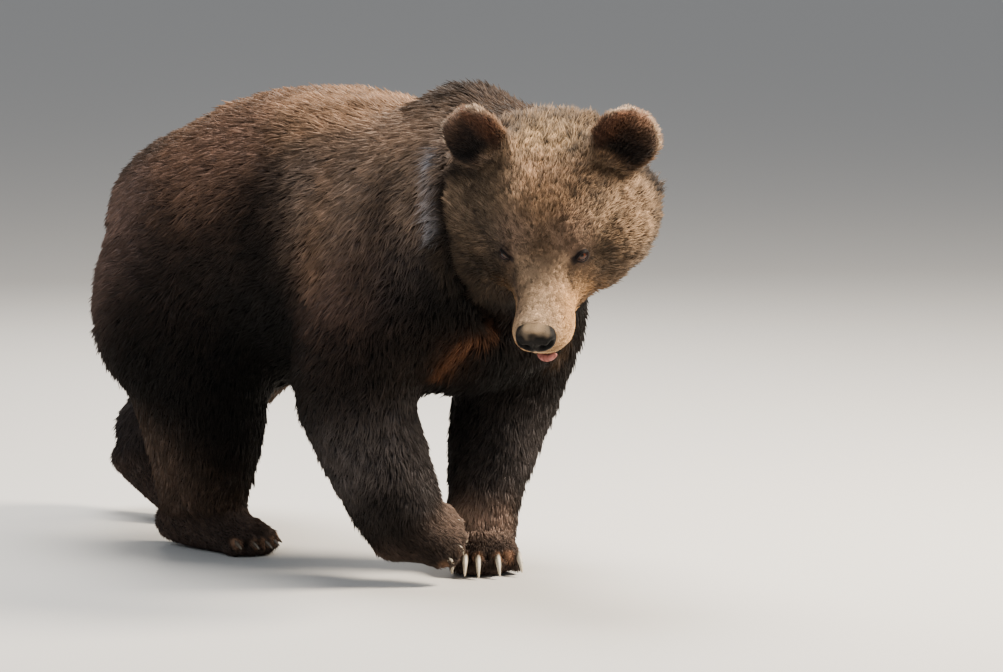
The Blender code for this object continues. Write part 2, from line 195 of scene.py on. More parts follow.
def finer(mesh, near, times):
    """Divides the squares of the hide around these places, given as centre and radius."""
    build = bmesh.new()
    build.from_mesh(mesh)
    for step in range(times):
        at = np.array([vert.co for vert in build.verts])
        inside = np.zeros(len(at), bool)
        for centre, radius in near:
            inside |= distance(at, centre) < radius * (1 - 0.14 * step)
        edges = [e for e in build.edges if inside[e.verts[0].index] and inside[e.verts[1].index]]
        bmesh.ops.subdivide_edges(build, edges=edges, cuts=1, use_grid_fill=True)
        build.verts.index_update()
    bmesh.ops.triangulate(build, faces=[face for face in build.faces if len(face.verts) > 4])
    build.to_mesh(mesh)
    build.free()


finer(hide_mesh, [(from_head(FACE_MIDDLE), 0.15)], 1)
finer(hide_mesh, [(centre, 0.034) for centre in eye_at.values()], 3)
finer(hide_mesh, [(from_head(LIP_MIDDLE), 0.065)], 1)
CLAWS_OF = {
    f"{foot}_{side}": [f"claw_{end}_{side}_{n}" for n in range(1, 6)]
    for foot, end in (("paw", "fore"), ("foot", "hind"))
    for side in ("left", "right")
}
TOE_DROP = 0.01  # how far a claw's root lies under the top of the claw
toe_roots = {}  # the inner end of every claw, and the middle of its foot
for foot, claws in CLAWS_OF.items():
    middle = middle_of(foot)
    for name in claws:
        low, high = np.array(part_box(name))
        inner = np.where(np.abs(low - middle) < np.abs(high - middle), low, high)
        toe_roots[name] = np.array((*inner[:2], high[2] - TOE_DROP)), middle
finer(hide_mesh, [(root, 0.034) for root, _ in toe_roots.values()], 1)
skin = points_of(hide_mesh)
threads = edges_of(hide_mesh)
face_share = 1 - rise(distance(in_head(skin), FACE_MIDDLE), 0.1, 0.16)
skin += (eased(skin, threads, 5) - skin) * face_share[:, None]
lay_hide(skin)

# how the coat grows on each part: length, how steeply it stands, which way it lies. The lie on
# paws and ears follows from their shape.
COAT_OF = {
    "trunk": (0.042, 0.36, (-1.0, 0, -0.12)),
    "neck": (0.043, 0.38, (-0.9, 0.1, -0.25)),
    "tail": (0.044, 0.34, (-0.22, 0, -1.0)),
    "upper_arm": (0.041, 0.34, (-0.35, 0, -1.0)),
    "thigh": (0.042, 0.34, (-0.35, 0, -1.0)),
    "forearm": (0.035, 0.33, (-0.22, 0, -1.0)),
    "lower_leg": (0.037, 0.33, (-0.22, 0, -1.0)),
    "paw": (0.018, 0.32, (0.0, 0, 0)),
    "foot": (0.019, 0.32, (0.0, 0, 0)),
    "ear": (0.022, 0.55, (0.0, 0, 0)),
}
# places on the head: where, reach, lie of the hair, length, how steeply it stands
FACE = {
    "nose bridge": ((0.215, 0, -0.005), 0.045, (-1, 0, 0.1), 0.005, 0.14),
    "muzzle top": ((0.14, 0, 0.01), 0.05, (-1, 0, 0.25), 0.007, 0.15),
    "muzzle side": ((0.17, 0.06, -0.05), 0.045, (-1, 0.1, -0.15), 0.007, 0.16),
    "upper lip": ((0.19, 0.045, -0.085), 0.035, (-0.8, 0.3, -0.7), 0.008, 0.25),
    "chin": ((0.19, 0, -0.125), 0.04, (-0.6, 0, -1), 0.014, 0.45),
    "jaw side": ((0.09, 0.06, -0.11), 0.05, (-0.8, 0.5, -0.6), 0.028, 0.5),
    "under the eye": ((0.085, 0.075, -0.02), 0.03, (-0.9, 0.5, -0.3), 0.008, 0.22),
    "between the eyes": ((0.095, 0, 0.045), 0.03, (-0.9, 0, 0.6), 0.01, 0.26),
    "brow": ((0.055, 0.05, 0.068), 0.035, (-0.6, 0.45, 0.7), 0.014, 0.34),
    "forehead": ((0, 0, 0.13), 0.06, (-0.8, 0, 0.6), 0.02, 0.4),
    "forehead side": ((0, 0.09, 0.1), 0.05, (-0.7, 0.6, 0.35), 0.02, 0.38),
    "crown": ((-0.1, 0, 0.18), 0.07, (-1, 0, 0.1), 0.026, 0.34),
    "temple": ((-0.03, 0.16, 0.05), 0.06, (-0.7, 0.7, -0.05), 0.026, 0.4),
    "cheek": ((0.01, 0.14, -0.05), 0.06, (-0.7, 0.6, -0.35), 0.028, 0.42),
    "jowl": ((-0.05, 0.17, -0.1), 0.07, (-0.6, 0.5, -0.8), 0.04, 0.45),
    "under the cheek": ((0, 0.1, -0.15), 0.06, (-0.6, 0.3, -0.9), 0.038, 0.42),
    "throat": ((-0.05, 0, -0.2), 0.09, (-0.7, 0, -0.8), 0.045, 0.4),
    "nape": ((-0.22, 0, 0.1), 0.1, (-1, 0, 0), 0.045, 0.42),
    "neck side": ((-0.2, 0.18, 0), 0.09, (-1, 0.2, -0.4), 0.048, 0.42),
}
SINK = 0.88  # share of the standing height by which the hide lies in
EAR_INSET = 0.0015
PAW_DROP, PAW_FALL = 0.15, 1.1  # how the hair of a paw turns down, everywhere and in front


def face_fields(local):
    """Lie, length and stand of the hair over the head, from the named places around it."""
    total, weights = np.zeros((len(local), 5)), np.zeros((len(local), 1))
    for at, reach, lie, length, stand in FACE.values():
        for way in (1, -1) if at[1] else (1,):
            mirror = np.array((1, way, 1))
            weight = bell(distance(local, at * mirror), reach)[:, None] + 1e-9
            total += weight * np.array((*unit(lie * mirror), length, stand))
            weights += weight
    total /= weights
    return np.column_stack((total[:, :3] @ head_axes.T, total[:, 3:]))


def on_parts(*names):
    """Which points of the hide come from these parts."""
    return np.isin(hide_parts, [PARTS.index(name) for name in names])


def share_of(chosen, passes):
    """Which points of the hide are chosen, softened at the border."""
    return eased(chosen.astype(float)[:, None], threads, passes)


# which part each point of the hide comes from, and the lie, length and stand of its hair
soft_tree = BVHTree.FromPolygons(soft_points, soft_faces, all_triangles=True)
hide_parts = np.array([soft_part[soft_tree.find_nearest(Vector(p))[2]] for p in skin.tolist()])
up = normals_of(hide_mesh)
fields = np.zeros((len(skin), 5))
for name in PARTS:
    here = on_parts(name)
    at, facing = skin[here], up[here]
    kind = name.removesuffix("_left").removesuffix("_right")
    if kind not in COAT_OF:
        fields[here] = face_fields(in_head(at))
        continue
    length, stand, lie = COAT_OF[kind]
    lie = np.tile(lie, (len(at), 1))
    flank = np.abs(facing[:, 1:2])
    if kind == "trunk":
        lie += flank * (0, 0, -0.55)
        lie += rise(at[:, :1], 0.05, 0.3) * flank * (0.45, 0, -0.6)
        lie += rise(-at[:, :1], 0.4, 0.68) * (0.55, 0, -1)
    elif kind == "neck":
        lie += flank * (0, 0, -0.7)
        lie[at[:, 2] < 0.72] = (-0.3, 0, -1)
    elif kind in ("paw", "foot"):
        toes = sum(middle_of(claw) for claw in CLAWS_OF[name]) / len(CLAWS_OF[name])
        lie += unit(toes - middle_of(name))
        lie[:, 2] -= PAW_DROP + PAW_FALL * np.clip((facing * lie).sum(1), 0, 1)
    elif kind == "ear":
        out = 1 if name == "ear_left" else -1
        root = in_head(middle_of(name)) + (-0.04, -0.075 * out, -0.085)
        lie = unit(in_head(at) - root) @ head_axes.T
    fields[here, :3] = unit(lie)
    fields[here, 3:] = length, stand

on_head, on_ears = on_parts("head", "lower_jaw", "nose"), on_parts("ear_left", "ear_right")
soft_fields = eased(fields, threads, 40)
keep = share_of(on_head | on_ears, 6)
fields = soft_fields + (fields - soft_fields) * np.clip(keep * 1.2 - 0.3, 0, 1)
inset = eased((SINK * fields[:, 3] * fields[:, 4])[:, None], threads, 4)
inset = np.where(on_ears[:, None], EAR_INSET, inset)
skin = eased(skin - up * inset, threads, 2)

# the ears droop a little
EAR_DROOP = {"ear_left": 0.003, "ear_right": 0.009}
for name, droop in EAR_DROOP.items():
    above_root = in_head(skin)[:, 2] - in_head(middle_of(name))[2]
    share = on_parts(name) * rise(above_root, -0.07, 0.03)
    skin -= head_axes[:, 2] * (droop * share)[:, None]
lay_hide(skin)

# small forms of the face: where, reach, how far the hide is raised
FACE_FORMS = {
    "brow": ((0.058, 0.062, 0.052), 0.02, 0.0045),
    "brow corner": ((0.082, 0.04, 0.036), 0.016, 0.003),
    "tear trough": ((0.098, 0.052, -0.004), 0.016, -0.004),
    "forehead furrow": ((0.045, 0, 0.085), 0.02, -0.004),
    "stop": ((0.1, 0, 0.04), 0.018, -0.002),
    "muzzle ridge": ((0.16, 0.02, 0.004), 0.026, 0.002),
    "lip pad": ((0.215, 0.034, -0.072), 0.022, 0.004),
    "cheek bone": ((0.05, 0.1, -0.005), 0.03, 0.005),
    "chin hollow": ((0.17, 0.045, -0.105), 0.022, -0.003),
}
# the muzzle hangs a little to the left, where the upper lip is full and covers the mouth
LIP_HANG = (
    ((0.19, 0.054, -0.062), 0.042, 0.015),
    ((0.17, -0.05, -0.03), 0.042, -0.0065),
    ((0.224, 0.014, -0.09), 0.022, 0.0075),
)
local, up = in_head(skin), normals_of(hide_mesh)
for at, reach, height in FACE_FORMS.values():
    for way in (1, -1) if at[1] else (1,):
        skin += up * (height * bell(distance(local, (at[0], at[1] * way, at[2])), reach))[:, None]
for at, reach, height in LIP_HANG:
    skin += up * (height * bell(distance(local, at), reach))[:, None]


def along_line(points, line):
    """How far each point is from a line through these places."""
    nearest = np.inf
    for start, step in zip(line, np.diff(line, axis=0)):
        part = np.clip((points - start) @ step / (step @ step), 0, 1)
        nearest = np.minimum(nearest, distance(points, start + part[:, None] * step))
    return nearest


# the fold where the ruff of the cheek ends and the neck begins
RUFF_FOLD = (
    (-0.165, -0.224, 0.05), (-0.114, -0.228, 0.016), (-0.079, -0.228, -0.008),
    (-0.049, -0.225, -0.036), (-0.024, -0.221, -0.069), (-0.005, -0.214, -0.11),
    (0.006, -0.202, -0.158), (0.015, -0.18, -0.204), (0.013, -0.15, -0.257),
)
FOLD_DEEP, FOLD_WIDE = 0.026, 0.022
for way in (1, -1):
    fold = along_line(local, np.array(RUFF_FOLD) * (1, way, 1))
    skin -= up * (FOLD_DEEP * bell(fold, FOLD_WIDE))[:, None]

# the toes: a rounded back behind each claw, with a cleft between neighbours
TOE_BACK, TOE_HIGH, TOE_WIDE = 0.044, 0.0055, 0.0145
CLEFT_DEEP, CLEFT_WIDE = 0.01, 0.006
clefts, toes = np.zeros(len(skin)), np.zeros(len(skin))
for name, (root, middle) in toe_roots.items():
    back = unit((middle - root) * (1, 1, 0.3))
    toe = along_line(skin, (root, root + back * TOE_BACK))
    toes = np.maximum(toes, bell(toe, TOE_WIDE))
    neighbour = name[:-1] + str(int(name[-1]) + 1)
    if neighbour in toe_roots:
        between = (root + toe_roots[neighbour][0]) / 2
        cleft = along_line(skin, (between - back * 0.02, between + back * TOE_BACK * 1.1))
        clefts = np.maximum(clefts, bell(cleft, CLEFT_WIDE))
skin += up * (TOE_HIGH * toes * (1 - clefts) - CLEFT_DEEP * clefts)[:, None]
fields[:, 3] *= 1 - 0.55 * rise(np.maximum(toes, clefts), 0.3, 0.9)

# the mouth: a groove along both sides of the muzzle that meets under the nose
MOUTH_ENDS, MOUTH_HEIGHTS = (0.07, 0.235), (-0.102, -0.088)  # at its corners and in front
MOUTH_SAG, MOUTH_WIDE, MOUTH_DEEP = 0.006, 0.0055, 0.0065
along = np.interp(local[:, 0], MOUTH_ENDS, (0, 1))
mouth_height = np.interp(along, (0, 1), MOUTH_HEIGHTS) - MOUTH_SAG * np.sin(3.14 * along)
mouth = bell(local[:, 2] - mouth_height, MOUTH_WIDE) * rise(local[:, 0], 0.075, 0.1)
mouth *= rise(0.3 - np.abs(local[:, 0]), 0, 0.02)
skin -= up * (MOUTH_DEEP * mouth)[:, None]

# the lids: the hide closes over each eyeball but for an almond-shaped opening
LID = 0.0016
EYE_FACING = (0.74, 0.56, 0.36)  # forward, outward, up
EYE_CORNER_WAY = (-0.42, 0.8, 0.22)  # from the inner corner to the outer one
OPENING = (0.92, 0.58, 0.46)  # half width, upper and lower half height, in eye radii
LID_OPEN = {"left": 1, "right": 0.74}  # the right eye is half closed
BARE_BAND = 0.24  # width of the hairless edge of the lids, in eye radii
SUNK_IN = 0.004  # how far the hide dips under the eyeball inside the opening
CREASE_DEEP = 0.0014


def eye_axes(side):
    """Facing, long and high axis of an eye's opening, in the world."""
    out = 1 if side == "left" else -1
    facing = unit(np.array(EYE_FACING) * (1, out, 1)) @ head_axes.T
    long_way = (np.array(EYE_CORNER_WAY) * (1, out, 1)) @ head_axes.T
    long_way = unit(long_way - facing * (long_way @ facing))
    high_way = np.cross(facing, long_way)
    return facing, long_way, high_way * np.sign(high_way @ head_axes[:, 2])


def lid_height(across, side, spread=0):
    """Upper and lower edge of the opening, at a place from corner to corner."""
    half, top, bottom = OPENING
    part = np.clip(1 - (across / (half + spread)) ** 2, 0, 1)
    top, bottom = (edge * LID_OPEN[side] + spread for edge in (top, bottom))
    return top * part**0.75, -bottom * part**0.85


in_opening, bare_lid = np.zeros(len(skin)), np.zeros(len(skin))
for side, centre in eye_at.items():
    facing, long_way, high_way = eye_axes(side)
    gap = skin - centre
    far = distance(skin, centre)
    ray = gap / np.maximum(far, 1e-6)[:, None]
    across, high, front = ray @ long_way, ray @ high_way, ray @ facing
    near = (1 - rise(far, 1.5 * eye_size, 2.2 * eye_size)) * rise(front, 0.05, 0.35)
    edges = []
    for spread in (0, BARE_BAND):
        top, bottom = lid_height(across, side, spread)
        edges.append(np.where(front > 0.1, np.maximum(high - top, bottom - high), 1))
    open_share = (1 - rise(edges[0], -0.1, 0.02)) * near
    bare_lid = np.maximum(bare_lid, (1 - rise(edges[1], -0.05, 0.08)) * near)
    raised = np.maximum(far, eye_size + LID)
    lidded = far + (raised - far) * near
    lidded += (eye_size - SUNK_IN - lidded) * open_share
    skin += ray * (lidded - far)[:, None]
    in_opening = np.maximum(in_opening, open_share)
    # a fold above the upper lid and under the lower one
    crease = bell(np.abs(high) - 0.95, 0.1) * near * (np.abs(across) < 0.95)
    skin -= ray * (CREASE_DEEP * crease)[:, None]
    # the hair round the eye is short and lies away from it
    fields_near = np.clip(1.25 - far / (3 * eye_size), 0, 1)[:, None]
    outward = unit(ray - up * (ray * up).sum(1)[:, None])
    fields[:, :3] += (outward - fields[:, :3]) * fields_near * 0.7
    fields[:, 3] *= 1 - 0.72 * fields_near[:, 0]
    fields[:, 4] *= 1 - 0.45 * fields_near[:, 0]
lay_hide(skin)


# markings, shared by hide and coat: tip and root colour of the hair, as on a paint card, with painted
# shade and painted light laid into them at some places
def tone(*card):
    """Paint-card colours, 0 to 255, as light."""
    card = np.array(card) / 255
    return np.where(card < 0.04045, card / 12.92, ((card + 0.055) / 1.055) ** 2.4)


# places on the body: where, reach, tip and root colour. The belly, thigh, lower flank, elbow fold,
# brisket, inner forearm and low neck are dark fur darkened further with painted shade; the rump, hind
# leg and forearm carry a painted grey sheen over their brown fur.
BODY_MARKS = {
    "back": ((-0.3, 0, 1.04), 0.17, (155, 118, 90), (59, 42, 31)),
    "withers": ((0.05, -0.06, 1.00), 0.1, (170, 133, 102), (65, 48, 36)),
    "hump crest": ((0.34, -0.02, 1.03), 0.09, (52, 41, 33), (24, 19, 16)),
    "hump side": ((0.3, 0.15, 0.95), 0.085, (175, 143, 118), (73, 58, 46)),
    "rump top": ((-0.58, 0, 0.95), 0.15, (108, 89, 76), (42, 34, 29)),
    "rump": ((-0.72, 0, 0.68), 0.17, (91, 77, 69), (37, 31, 29)),
    "upper flank": ((-0.22, 0.27, 0.88), 0.12, (150, 116, 96), (62, 47, 43)),
    "flank": ((-0.22, 0.33, 0.68), 0.15, (46, 36, 31), (21, 17, 15)),
    "haunch": ((-0.52, 0.28, 0.7), 0.14, (125, 101, 92), (57, 47, 43)),
    "belly": ((-0.1, 0.14, 0.42), 0.18, (11, 8, 6), (4, 3, 2)),
    "thigh": ((-0.36, 0.28, 0.48), 0.14, (10, 7, 5), (5, 3, 3)),
    "hind leg": ((-0.45, 0.16, 0.22), 0.13, (104, 84, 71), (45, 37, 32)),
    "heel": ((-0.8, 0.14, 0.22), 0.14, (51, 44, 43), (25, 22, 23)),
    "shoulder": ((0.2, 0.27, 0.8), 0.11, (145, 122, 106), (53, 44, 38)),
    # painted shade behind the shoulder
    "behind the shoulder": ((0, 0.27, 0.74), 0.09, (34, 26, 22), (15, 11, 9)),
    "shoulder front": ((0.36, 0.22, 0.7), 0.08, (77, 69, 66), (30, 27, 28)),
    "lower shoulder": ((0.24, 0.3, 0.66), 0.09, (110, 86, 76), (46, 38, 34)),
    "elbow fold": ((-0.02, 0.28, 0.52), 0.1, (16, 11, 8), (7, 6, 5)),
    "upper arm": ((0.24, 0.28, 0.5), 0.1, (32, 24, 20), (12, 10, 9)),
    "arm front": ((0.36, 0.2, 0.5), 0.08, (29, 22, 18), (13, 10, 9)),
    "chest": ((0.46, -0.12, 0.53), 0.08, (50, 30, 17), (18, 10, 6)),
    "brisket": ((0.4, 0.02, 0.42), 0.08, (14, 8, 6), (6, 4, 4)),
    "forearm": ((0.28, 0.2, 0.28), 0.1, (87, 80, 78), (35, 32, 33)),
    "wrist": ((0.24, 0.18, 0.13), 0.07, (33, 25, 19), (14, 10, 8)),
    "inner forearm": ((0.25, 0.08, 0.32), 0.08, (6, 4, 4), (3, 3, 2)),
    "neck top": ((0.48, -0.02, 1.00), 0.09, (84, 66, 52), (36, 28, 23)),
    "neck side": ((0.42, 0.26, 0.86), 0.08, (158, 134, 116), (68, 57, 50)),
    "neck low": ((0.46, 0.2, 0.64), 0.09, (17, 14, 13), (8, 6, 6)),
    "throat": ((0.56, -0.04, 0.56), 0.12, (27, 19, 15), (10, 8, 7)),
}
PAW_MARKS = (84, 69, 61), (38, 31, 28)
# the clefts between the toes are painted shade
TOE_MARKS, CLEFT_SHADE = ((186, 142, 112), (98, 74, 58)), ((14, 11, 10), (8, 6, 6))
FACE_MARKS = {
    "nose bridge": ((0.22, 0, 0), 0.05, (203, 174, 141), (154, 126, 100)),
    "muzzle top": ((0.15, 0, 0.01), 0.05, (195, 166, 134), (138, 110, 89)),
    "muzzle side": ((0.17, 0.06, -0.05), 0.05, (211, 162, 106), (139, 100, 66)),
    "upper lip": ((0.2, 0.045, -0.085), 0.035, (207, 166, 117), (128, 94, 64)),
    "chin": ((0.19, 0, -0.125), 0.04, (164, 140, 110), (96, 76, 59)),
    "jaw side": ((0.09, 0.06, -0.11), 0.05, (136, 102, 68), (62, 46, 33)),
    "eye ring": ((0.078, 0.076, 0.02), 0.017, (58, 44, 39), (32, 26, 23)),
    "under the eye": ((0.105, 0.075, -0.02), 0.028, (98, 78, 58), (60, 45, 36)),
    "between the eyes": ((0.098, 0, 0.042), 0.03, (110, 86, 65), (52, 38, 29)),
    "brow": ((0.06, 0.05, 0.07), 0.035, (140, 113, 92), (51, 40, 36)),
    "forehead": ((0, 0, 0.13), 0.06, (170, 133, 98), (62, 48, 37)),
    "forehead side": ((0, 0.09, 0.1), 0.055, (114, 93, 72), (42, 32, 29)),
    "crown": ((-0.11, 0, 0.17), 0.055, (150, 122, 88), (48, 36, 24)),
    "ear foot": ((-0.05, 0.1, 0.17), 0.035, (152, 120, 90), (58, 46, 37)),
    "temple": ((-0.03, 0.16, 0.05), 0.06, (158, 129, 100), (54, 44, 38)),
    "cheek": ((0.01, 0.14, -0.05), 0.06, (108, 89, 71), (34, 29, 25)),
    "jowl": ((-0.05, 0.17, -0.1), 0.07, (88, 74, 60), (32, 28, 27)),
    # painted shadow under the cheek
    "under the cheek": ((0, 0.1, -0.15), 0.06, (14, 10, 9), (7, 5, 5)),
    "throat": ((-0.05, 0, -0.2), 0.09, (46, 35, 29), (24, 18, 16)),
    "nape": ((-0.22, 0, 0.1), 0.1, (118, 96, 74), (46, 37, 29)),
    "neck side": ((-0.2, 0.18, 0), 0.09, (46, 39, 36), (17, 14, 16)),
}


def marks_from(places, points):
    """Tip and root colour of the hair at each point, blended between the named places."""
    total, weights = np.zeros((len(points), 6)), np.zeros((len(points), 1))
    for at, reach, *card in places.values():
        for way in (1, -1) if at[1] > 0.03 else (1,):
            gap = distance(points, (at[0], at[1] * way, at[2]))[:, None] / reach
            weight = bell(gap, 1) + 1e-9 / (0.1 + gap**4)
            total += weight * tone(*card).ravel()
            weights += weight
    return total / weights


def laid(marks, share, *card):
    """The markings with a tip and a root colour laid over them, by this share at each point."""
    return marks + (tone(*card).ravel() - marks) * share


local, up = in_head(skin), normals_of(hide_mesh)
on_paws = share_of(on_parts(*CLAWS_OF), 8)
marks = eased(laid(marks_from(BODY_MARKS, skin), on_paws * 0.8, *PAW_MARKS), threads, 6)
marks = laid(marks, 0.85 * rise(toes, 0.3, 0.75)[:, None], *TOE_MARKS)
# painted shade in the clefts between the toes
marks = laid(marks, 0.9 * rise(clefts, 0.2, 0.7)[:, None], *CLEFT_SHADE)
on_face = share_of(on_head, 8)
marks += (marks_from(FACE_MARKS, local) - marks) * np.clip(on_face * 1.3 - 0.3, 0, 1)

# the ears' cups: places outwards and upwards from the ear's middle. The rim is pale fur with painted
# rim light over it.
EAR_MARKS = {
    "top": ((-0.01, 0, 0.04), 0.02, (122, 84, 62), (60, 41, 31)),
    "outer top": ((0.034, 0, 0.028), 0.02, (132, 98, 76), (64, 48, 38)),
    "inner top": ((-0.046, 0, 0.016), 0.02, (104, 69, 50), (50, 34, 26)),
    "inner side": ((-0.058, 0, -0.014), 0.016, (74, 50, 37), (36, 25, 20)),
    "middle": ((0.002, 0, 0.000), 0.018, (48, 34, 27), (22, 16, 14)),
    "outer side": ((0.036, 0, -0.006), 0.018, (80, 60, 47), (34, 26, 21)),
    "inner cup": ((-0.028, 0, -0.034), 0.018, (30, 23, 19), (14, 11, 10)),
    "outer cup": ((0.016, 0, -0.036), 0.018, (42, 33, 28), (19, 15, 13)),
    "low cup": ((0.004, 0, -0.062), 0.018, (26, 20, 17), (12, 10, 9)),
    "inner foot": ((-0.052, 0, -0.052), 0.014, (160, 128, 98), (62, 48, 38)),
}
EAR_FACING = np.array((0.74, 0, 0.67))  # the way an ear's cup opens, as the head sees it
# the rim's colour is pale fur with painted rim light
EAR_RIM_AND_RIM_LIGHT, EAR_BACK = ((250, 222, 190), (150, 112, 86)), ((128, 98, 74), (56, 42, 34))
inside_ear, ear_rim = np.zeros(len(skin)), np.zeros(len(skin))
ear_places = np.zeros((len(skin), 3))
cupped = up @ head_axes @ EAR_FACING
for name in EAR_DROOP:
    here = on_parts(name)
    off = local - in_head(middle_of(name))
    out_in_ear = off[:, 1] * (1 if name == "ear_left" else -1)
    high_in_ear = off @ (-EAR_FACING[2], 0, EAR_FACING[0])
    ear_places[here] = np.column_stack((out_in_ear, 0 * out_in_ear, high_in_ear))[here]
    inside_ear = np.maximum(inside_ear, here * rise(cupped, -0.05, 0.3))
    edge = rise(cupped, -0.42, -0.1) * (1 - rise(cupped, 0.15, 0.42))
    ear_rim = np.maximum(ear_rim, here * edge * rise(high_in_ear + 0.9 * out_in_ear, -0.01, 0.03))
inside_ear, ear_rim, ear_share = (share_of(there, 2) for there in (inside_ear, ear_rim, on_ears))
marks = laid(marks, ear_share, *EAR_BACK)
marks += (marks_from(EAR_MARKS, ear_places) - marks) * inside_ear
# the pale rim, with painted rim light
marks = laid(marks, ear_rim * 0.9, *EAR_RIM_AND_RIM_LIGHT)

# streaks on head, neck and chest, as the head has them: width, strength, tip, root, and the line.
# Most are painted shade: in the ruff's fold, under the ears, cheek and brows, on the neck and chest,
# and on the bear's right muzzle, cheek and temple, away from the key lamp. The neck shine is a painted
# highlight.
STREAKS = {
    "ruff shade": (0.024, 0.92, (24, 18, 15), (11, 9, 8), *RUFF_FOLD[1:]),
    "neck shade": (0.05, 0.85, (11, 8, 7), (6, 5, 4),
        (-0.01, -0.2, -0.14), (0, -0.2, -0.19), (0.012, -0.25, -0.2)),
    # painted highlight along the neck's edge
    "neck shine": (0.01, 0.8, (200, 200, 208), (100, 98, 102),
        (-0.19, -0.258, 0.05), (-0.165, -0.26, 0.03), (-0.1, -0.258, -0.006),
        (-0.05, -0.254, -0.052)),
    "chest shade": (0.085, 0.85, (16, 12, 10), (8, 6, 6), (0, -0.17, -0.4), (-0.09, -0.11, -0.52)),
    # painted shadow between the forelegs
    "chest pit": (0.045, 0.9, (8, 6, 5), (5, 4, 4),
        (0.035, -0.15, -0.3), (0.025, -0.15, -0.36), (0.02, -0.15, -0.42)),
    "chest side": (0.016, 0.7, (122, 80, 54), (52, 34, 25),
        (-0.005, -0.159, -0.269), (0.044, -0.197, -0.272), (0.059, -0.235, -0.303),
        (0.066, -0.27, -0.348)),
    "left arm front": (0.03, 0.5, (112, 87, 66), (46, 36, 29),
        (-0.146, -0.038, -0.426), (-0.131, -0.066, -0.49)),
    # painted shade under the ears
    "under the right ear": (0.021, 0.8, (22, 17, 14), (10, 8, 7),
        (-0.075, -0.14, 0.098), (-0.1, -0.178, 0.066), (-0.105, -0.205, 0.035)),
    "under the left ear": (0.021, 0.7, (22, 17, 14), (10, 8, 7),
        (-0.1, 0.15, 0.075), (-0.13, 0.172, 0.036), (-0.108, 0.19, 0.005)),
    "tear lines": (0.01, 0.55, (52, 40, 33), (34, 26, 22),
        (0.094, -0.054, 0.012), (0.125, -0.056, -0.018)),
    # painted shade on the right side of the muzzle, cheek and temple
    "muzzle shade": (0.026, 0.74, (82, 70, 63), (56, 47, 42),
        (0.105, -0.046, -0.022), (0.2, -0.044, -0.02)),
    "cheek shade": (0.05, 0.72, (18, 14, 11), (9, 8, 7),
        (0.06, -0.095, -0.04), (0.01, -0.13, -0.075), (-0.05, -0.15, -0.1)),
    "temple shade": (0.05, 0.42, (52, 47, 46), (24, 21, 20),
        (-0.03, -0.165, 0.04), (0.035, -0.105, 0.035)),
    "brow shades": (0.012, 0.32, (52, 39, 31), (26, 20, 17),
        (0.066, -0.034, 0.052), (0.058, -0.085, 0.052)),
}
ON_BOTH_SIDES = ("tear lines", "brow shades")
# and on the body, the same on both sides: painted shade behind and on the shoulder and at the wrist,
# and painted light on the top of the forepaw
BODY_STREAKS = {
    # painted shade behind the shoulder
    "behind the shoulder": (0.04, 0.4, (15, 11, 9), (8, 6, 5),
        (0.01, -0.279, 0.713), (0.06, -0.273, 0.63), (0.02, -0.27, 0.54)),
    "shoulder tan": (0.034, 0.3, (176, 136, 104), (66, 50, 39),
        (0.15, -0.19, 0.91), (0.175, -0.242, 0.827), (0.159, -0.265, 0.743), (0.154, -0.272, 0.659)),
    "shoulder shade": (0.045, 0.6, (70, 56, 48), (30, 24, 21),
        (0.329, -0.228, 0.857), (0.332, -0.251, 0.796), (0.323, -0.265, 0.734), (0.298, -0.276, 0.66)),
    "wrist shade": (0.058, 0.8, (20, 15, 13), (10, 8, 7),
        (0.323, -0.243, 0.187), (0.345, -0.21, 0.135), (0.369, -0.17, 0.075)),
    # painted light on the top of the forepaw
    "paw top": (0.046, 0.8, (190, 160, 142), (96, 80, 71),
        (0.285, -0.051, 0.121), (0.345, -0.098, 0.118)),
}
folded = skin.copy()
folded[:, 1] = -np.abs(skin[:, 1])
for width, strength, tip, root, *line in BODY_STREAKS.values():
    share = strength * bell(along_line(folded, line), width)
    marks = laid(marks, share[:, None], tip, root)
for name, (width, strength, tip, root, *line) in STREAKS.items():
    for way in (1, -1) if name in ON_BOTH_SIDES else (1,):
        share = strength * bell(along_line(local, np.array(line) * (1, way, 1)), width)
        marks = laid(marks, share[:, None], tip, root)

uneven = 1 + 0.14 * drift(skin, 0.16, 3) + 0.1 * drift(skin, 0.05, 4)
marks = np.clip(marks * uneven[:, None], 0, 1)
# the hide shows mostly the roots' colour, and the tips' where the hair is too short to cover it
short_fur = (1 - rise(fields[:, 3], 0.008, 0.016))[:, None]
skin_tone = marks[:, 3:] * (0.75 - 0.45 * short_fur) + marks[:, :3] * (0.08 + 0.52 * short_fur)
bare = np.clip(mouth * 1.1 + in_opening + bare_lid, 0, 1)[:, None]
skin_tone = skin_tone * (1 - bare) + tone(24, 18, 17) * bare


def new_finish(name, roughness, shine):
    """A material, its shader, and what adds a node to it and links two sockets."""
    finish = bpy.data.materials.new(name)
    finish.use_nodes = True
    shader = finish.node_tree.nodes["Principled BSDF"]
    shader.inputs["Roughness"].default_value = roughness
    shader.inputs["Specular IOR Level"].default_value = shine
    return finish, shader, finish.node_tree.nodes.new, finish.node_tree.links.new


def marked_finish(name, roughness, shine):
    """A material in the colours that a mesh carries at its points."""
    finish, shader, add, link = new_finish(name, roughness, shine)
    marking = add("ShaderNodeAttribute")
    marking.attribute_name = "marking"
    link(marking.outputs["Color"], shader.inputs["Base Color"])
    return finish, shader, add, link


